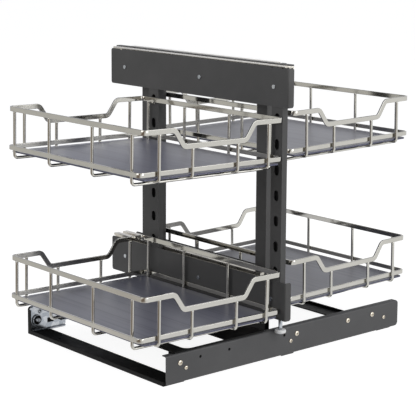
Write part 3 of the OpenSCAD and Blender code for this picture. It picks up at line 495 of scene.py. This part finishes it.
# Bolt heads and washers: (share of the radius, height in millimetres) from the seat outwards.
PAN_HEAD = ((1.0, 0.0), (1.0, 0.5), (0.94, 1.2), (0.80, 1.9), (0.58, 2.35), (0.44, 2.45))
PAN_HOLE_SHARE = 0.42
PAN_HOLE_DEPTH = 1.5
BRACKET_HEAD = ((0.98, 0.0), (1.0, 0.4), (0.98, 2.6), (0.88, 4.2), (0.66, 4.9), (0.52, 5.0))
BRACKET_HOLE_SHARE = 0.5
BRACKET_HOLE_DEPTH = 2.2
HOLE_CHAMFER = 0.1
SHANK_RADIUS = 2.0
LARGE_HEAD_RADIUS = 8.0
HEAD_IN_DISH = 0.52
DISH = ((0.86, -0.2), (0.90, 0.3), (0.86, 0.7), (0.60, 0.5))
DISH_RIM = ((0.84, -0.1), (0.84, 0.9), (0.88, 1.6), (0.95, 1.6), (1.0, 0.9), (1.0, -0.1))


def head_profile(radius, outline, hole_share, hole_depth):
    """Head of a bolt with a hexagonal recess, from its rim to the floor of the recess."""
    top = outline[-1][1]
    hole = hole_share * radius
    recess = [(hole, top - HOLE_CHAMFER, True), (hole, top - hole_depth, True)]
    return round_profile(outline, radius) + recess


def make_bolts():
    """Bolts of the base: rounded heads with a hexagonal recess, dished washers under the large ones, their
    dish painted black as shade in the recess round the head.
    """
    plate_bolts = bmesh.new()
    rear_bolts = bmesh.new()
    shaded_dishes = bmesh.new()
    for points, _ in loose_solids("base_bolts"):
        low, high = corners(points)
        radius = (high.x - low.x) / 2.0 / MM
        length = (high.y - low.y) / MM
        middle = (low + high) / 2.0
        rear = middle.y > 0.0
        large = rear and radius > LARGE_HEAD_RADIUS
        outline = BRACKET_HEAD if large else PAN_HEAD
        head_height = outline[-1][1]
        seat = Vector((middle.x, low.y + head_height * MM, middle.z))
        shank = [(SHANK_RADIUS, head_height - length, False), (SHANK_RADIUS, 0.0, False)]
        if large:
            head = head_profile(radius * HEAD_IN_DISH, outline, BRACKET_HOLE_SHARE, BRACKET_HOLE_DEPTH)
            # The dish is painted black: painted shade in the recess round the large heads.
            lathe(shaded_dishes, round_profile(DISH, radius), seat, FORWARD)
            ring(rear_bolts, round_profile(DISH_RIM, radius), seat, FORWARD)
        else:
            head = head_profile(radius, outline, PAN_HOLE_SHARE, PAN_HOLE_DEPTH)
        lathe(rear_bolts if rear else plate_bolts, shank + head, seat, FORWARD)
    add_piece("plate_bolts_with_recess", plate_bolts, "base", "bolt_nickel", ("base_bolts",))
    add_piece("rear_bolts_with_recess", rear_bolts, "base", "zinc")
    # Black dishes: painted shade round the large heads.
    add_piece("rear_bolt_shade_dishes", shaded_dishes, "base", "black_paint")


# Weld at the end of a wire: radius and height in millimetres from the wire's end.
WELD_BEAD = ((3.05, -2.6), (3.32, -1.4), (3.38, -0.4), (3.2, 0.5), (2.7, 1.2), (1.9, 1.6))
# Least distance of a wire's end from its middle, as a share of the wire's length.
WIRE_END_SHARE = 0.25


def make_welds(basket, body):
    """Small weld beads where the wires of a basket meet its top rail."""
    mesh = bmesh.new()
    for points, tops in loose_solids(basket + "_wires"):
        low, high = corners(points)
        middle = (low + high) / 2.0
        axis = 0 if high.x - low.x > high.y - low.y else 1
        reach = (high[axis] - low[axis]) * WIRE_END_SHARE
        raised = [spot for spot in tops if spot.z > middle.z]
        for side in (-1.0, 1.0):
            end = [spot for spot in raised if (spot[axis] - middle[axis]) * side > reach]
            end_low, end_high = corners(end)
            lathe(mesh, round_profile(WELD_BEAD), (end_low + end_high) / 2.0, UPWARD)
    add_piece(basket + "_welds", mesh, body, "chrome")


# Pressed tabs in the upper lip of a slide, in millimetres: places behind the front end of the cover
# and ahead of its rear end, outline along the slide and upwards, and depth.
TAB_FRONT = (22.5, 51.5)
TAB_REAR = 26.0
TAB_OUTLINE = ((-3.6, -0.6), (-2.6, 1.0), (-1.6, 1.5), (1.6, 1.5), (2.6, 1.0), (3.6, -0.6))
TAB_DEPTH = 1.6


def make_slide_tabs():
    """Small tabs pressed up from the lip of the left upper slide."""
    cover_low, cover_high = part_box("left_top_cover")
    slide_low, slide_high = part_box("left_top_slide_outer")
    lip = slide_low[0]
    mesh = bmesh.new()
    for y in [cover_low[1] + place * MM for place in TAB_FRONT] + [cover_high[1] - TAB_REAR * MM]:
        near = []
        far = []
        for along, rise in TAB_OUTLINE:
            spot = Vector((lip, y + along * MM, slide_high[2] + rise * MM))
            near.append(mesh.verts.new(spot))
            far.append(mesh.verts.new(spot + Vector((TAB_DEPTH * MM, 0.0, 0.0))))
        mesh.faces.new(near)
        mesh.faces.new(far)
        join_circles(mesh, near, far)
    add_piece("left_slide_tabs", mesh, "carriage", "zinc", look="slide_steel")


# Rolled upper lips of the slides, in millimetres: how far they reach out over the upper and lower covers,
# how far above and below the slide's upper edge they go, the rounding of the free edge,
# how far they reach back into the slide, and the distance from the cover's rear end.
LIP_OVERHANG = {"top": 12.0, "bottom": 0.0}
LIP_RISE = 0.25
LIP_DROP = 1.1
LIP_ROUND = 0.4
LIP_HELD = 3.0
LIP_END = 2.0


def make_slide_lips(side, level):
    """Rolled lip along the upper edge of a slide, over the edge of the cover beside it."""
    low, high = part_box(side + "_" + level + "_slide_outer")
    outward = -1.0 if side == "left" else 1.0
    outer = low[0] if side == "left" else high[0]
    free = outer + outward * LIP_OVERHANG[level] * MM
    held = outer - outward * LIP_HELD * MM
    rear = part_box(side + "_" + level + "_cover")[1][1] - LIP_END * MM
    bottom = high[2] - LIP_DROP * MM
    top = high[2] + LIP_RISE * MM
    soft = LIP_ROUND * MM
    section = (
        (held, bottom), (free - outward * soft, bottom), (free, bottom + soft),
        (free, top - soft), (free - outward * soft, top), (held, top),
    )
    mesh = bmesh.new()
    ends = []
    for y in (low[1], rear):
        ends.append([mesh.verts.new((x, y, z)) for x, z in section])
    for end in ends:
        mesh.faces.new(end)
    join_circles(mesh, *ends)
    add_piece(side + "_" + level + "_slide_lip", mesh, "carriage", "zinc", look="slide_steel")


# Lower half of the guide roller's section: radius and height in millimetres from its middle.
ROLLER_HALF = (
    (3.05, -2.8), (5.2, -3.0), (6.0, -2.4), (8.2, -2.4),
    (8.8, -3.0), (10.2, -3.0), (10.8, -2.5), (11.0, -1.8),
)


def make_roller():
    """White guide roller with a rounded rim and a sunk ring on both faces."""
    low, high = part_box("guide_roller")
    middle = (Vector(low) + Vector(high)) / 2.0
    upper_half = tuple((radius, -height) for radius, height in reversed(ROLLER_HALF))
    mesh = bmesh.new()
    ring(mesh, round_profile(ROLLER_HALF + upper_half), middle, UPWARD)
    add_piece("turned_roller", mesh, "roller", "nylon", ("guide_roller",))


# Level directions of the photograph's view, away from its camera and to the right.
AHEAD = (0.652, 0.758, 0.0)
RIGHT = (0.758, -0.652, 0.0)
# What polished surfaces see around the object: colours at places on a full turn, which starts
# and ends on the left and goes by way of the front, the right and the rear.
SURROUNDINGS = (
    (0.00, (0.70, 0.69, 0.66)),
    (0.07, (0.62, 0.58, 0.53)),
    (0.13, (0.24, 0.19, 0.15)),
    (0.22, (0.24, 0.19, 0.15)),
    (0.27, (0.80, 0.78, 0.75)),
    (0.31, (1.0, 1.0, 0.99)),
    (0.58, (1.0, 1.0, 0.99)),
    (0.66, (0.64, 0.66, 0.71)),
    (0.70, (1.0, 1.0, 1.0)),
    (0.74, (1.0, 1.0, 1.0)),
    (0.77, (0.70, 0.71, 0.76)),
    (0.82, (0.54, 0.55, 0.63)),
    (0.88, (0.60, 0.61, 0.66)),
    (0.95, (0.70, 0.69, 0.66)),
    (1.00, (0.70, 0.69, 0.66)),
)


def surroundings(owner, add, place):
    """Shade of the surroundings in the direction of a place or vector; returns the colour socket."""
    angle = add("Math", operation="ARCTAN2")
    for axis, socket in zip((AHEAD, RIGHT), angle.inputs):
        side = add("VectorMath", operation="DOT_PRODUCT")
        side.inputs[1].default_value = axis
        link(owner, place, side.inputs[0])
        link(owner, side.outputs["Value"], socket)
    turn = add("MapRange", **{"From Min": -math.pi, "From Max": math.pi})
    link(owner, angle.outputs["Value"], turn.inputs["Value"])
    shades = add("ValToRGB")
    stops = shades.color_ramp.elements
    while len(stops) < len(SURROUNDINGS):
        stops.new(1.0)
    for stop, (position, colour) in zip(stops, SURROUNDINGS):
        stop.position = position
        stop.color = (*colour, 1.0)
    link(owner, turn.outputs["Result"], shades.inputs["Fac"])
    return shades.outputs["Color"]


# Floor, in metres: half its width, its height, and where it starts and ends to fade for polished metal.
FLOOR_HALF = 12.0
FLOOR_HEIGHT = -0.0005
FLOOR_CORNERS = ((-1, -1), (1, -1), (1, 1), (-1, 1))
FLOOR_NEAR = 0.35
FLOOR_FAR = 0.85
FLOOR_COLOUR = 0.3
FLOOR_ROUGHNESS = 0.9
FLOOR_GLOW = 0.9


def make_floor():
    """Plain white floor with a soft shadow; polished metal sees it fade into the surroundings."""
    mat, add, shader = new_material("floor")
    shader.inputs["Base Color"].default_value = grey(FLOOR_COLOUR)
    shader.inputs["Roughness"].default_value = FLOOR_ROUGHNESS
    shader.inputs["Emission Color"].default_value = WHITE
    ray = add("LightPath")
    glow = add("Math", operation="MULTIPLY")
    glow.inputs[1].default_value = FLOOR_GLOW
    link(mat, ray.outputs["Is Camera Ray"], glow.inputs[0])
    link(mat, glow.outputs["Value"], shader.inputs["Emission Strength"])
    place = add("NewGeometry")
    distance = add("VectorMath", operation="LENGTH")
    link(mat, place.outputs["Position"], distance.inputs[0])
    far = add("MapRange", **{"From Min": FLOOR_NEAR, "From Max": FLOOR_FAR})
    link(mat, distance.outputs["Value"], far.inputs["Value"])
    shade = add("MixRGB", Color1=WHITE)
    link(mat, far.outputs["Result"], shade.inputs["Fac"])
    link(mat, surroundings(mat, add, place.outputs["Position"]), shade.inputs["Color2"])
    mirrored = add("Emission", Strength=1.0)
    link(mat, shade.outputs["Color"], mirrored.inputs["Color"])
    either = add("MixShader")
    link(mat, ray.outputs["Is Glossy Ray"], either.inputs["Fac"])
    link(mat, shader.outputs["BSDF"], either.inputs[1])
    link(mat, mirrored.outputs["Emission"], either.inputs[2])
    link(mat, either.outputs["Shader"], mat.node_tree.nodes["Material Output"].inputs["Surface"])
    mesh = bpy.data.meshes.new("floor")
    spots = [(x * FLOOR_HALF, y * FLOOR_HALF, FLOOR_HEIGHT) for x, y in FLOOR_CORNERS]
    mesh.from_pydata(spots, [], [range(len(spots))])
    floor = bpy.data.objects.new("floor", mesh)
    floor.data.materials.append(mat)
    bpy.context.scene.collection.objects.link(floor)


# Light of the world, its shade overhead, and the upward parts of a direction between which it fades.
WORLD_LIGHT = 0.55
OVERHEAD = (0.14, 0.15, 0.18, 1.0)
HORIZON_END = 0.28
OVERHEAD_START = 0.62


def make_world():
    """White for the camera, plain light that is weaker overhead, and shades for polished metal."""
    world = bpy.data.worlds.new("studio")
    bpy.context.scene.world = world
    world.use_nodes = True
    add = make_adder(world.node_tree)
    background = world.node_tree.nodes["Background"]
    background.inputs["Strength"].default_value = 1.0
    ray = add("LightPath")
    place = add("TexCoord").outputs["Generated"]
    shiny = add("MixRGB", Color1=grey(WORLD_LIGHT))
    link(world, ray.outputs["Is Glossy Ray"], shiny.inputs["Fac"])
    link(world, surroundings(world, add, place), shiny.inputs["Color2"])
    split = add("SeparateXYZ")
    link(world, place, split.inputs["Vector"])
    height = add("MapRange", **{"From Min": HORIZON_END, "From Max": OVERHEAD_START})
    link(world, split.outputs["Z"], height.inputs["Value"])
    above = add("MixRGB", Color2=OVERHEAD)
    link(world, height.outputs["Result"], above.inputs["Fac"])
    link(world, shiny.outputs["Color"], above.inputs["Color1"])
    seen = add("MixRGB", Color2=WHITE)
    link(world, ray.outputs["Is Camera Ray"], seen.inputs["Fac"])
    link(world, above.outputs["Color"], seen.inputs["Color1"])
    link(world, seen.outputs["Color"], background.inputs["Color"])


# Square soft boxes: name, place and target in metres, size in metres, power in watts.
LAMPS = (
    ("top_soft_box", (-0.4, -0.6, 2.6), (0.0, 0.0, 0.3), 2.6, 15.0),
    ("front_soft_box", (0.9, -3.0, 1.5), (0.0, 0.0, 0.3), 3.0, 62.0),
    ("left_soft_box", (-2.9, 0.2, 1.9), (0.0, 0.0, 0.45), 2.6, 40.0),
)


def make_lamp(name, place, target, size, watts):
    """Square soft box at a place, turned towards a target."""
    data = bpy.data.lights.new(name, "AREA")
    data.shape = "SQUARE"
    data.size = size
    data.energy = watts
    lamp = bpy.data.objects.new(name, data)
    lamp.location = place
    lamp.rotation_mode = "QUATERNION"
    lamp.rotation_quaternion = (Vector(target) - Vector(place)).to_track_quat("-Z", "Y")
    bpy.context.scene.collection.objects.link(lamp)


make_camera()
dress_nodes()
make_bolts()
make_roller()
make_slide_tabs()
for basket_side in ("left", "right"):
    for slide_level in LIP_OVERHANG:
        make_slide_lips(basket_side, slide_level)
    for basket_level in ("upper", "lower"):
        make_welds(basket_level + "_" + basket_side, basket_side + "_frame")
make_floor()
make_world()
for soft_box in LAMPS:
    make_lamp(*soft_box)
bpy.context.scene.view_settings.view_transform = "Standard"
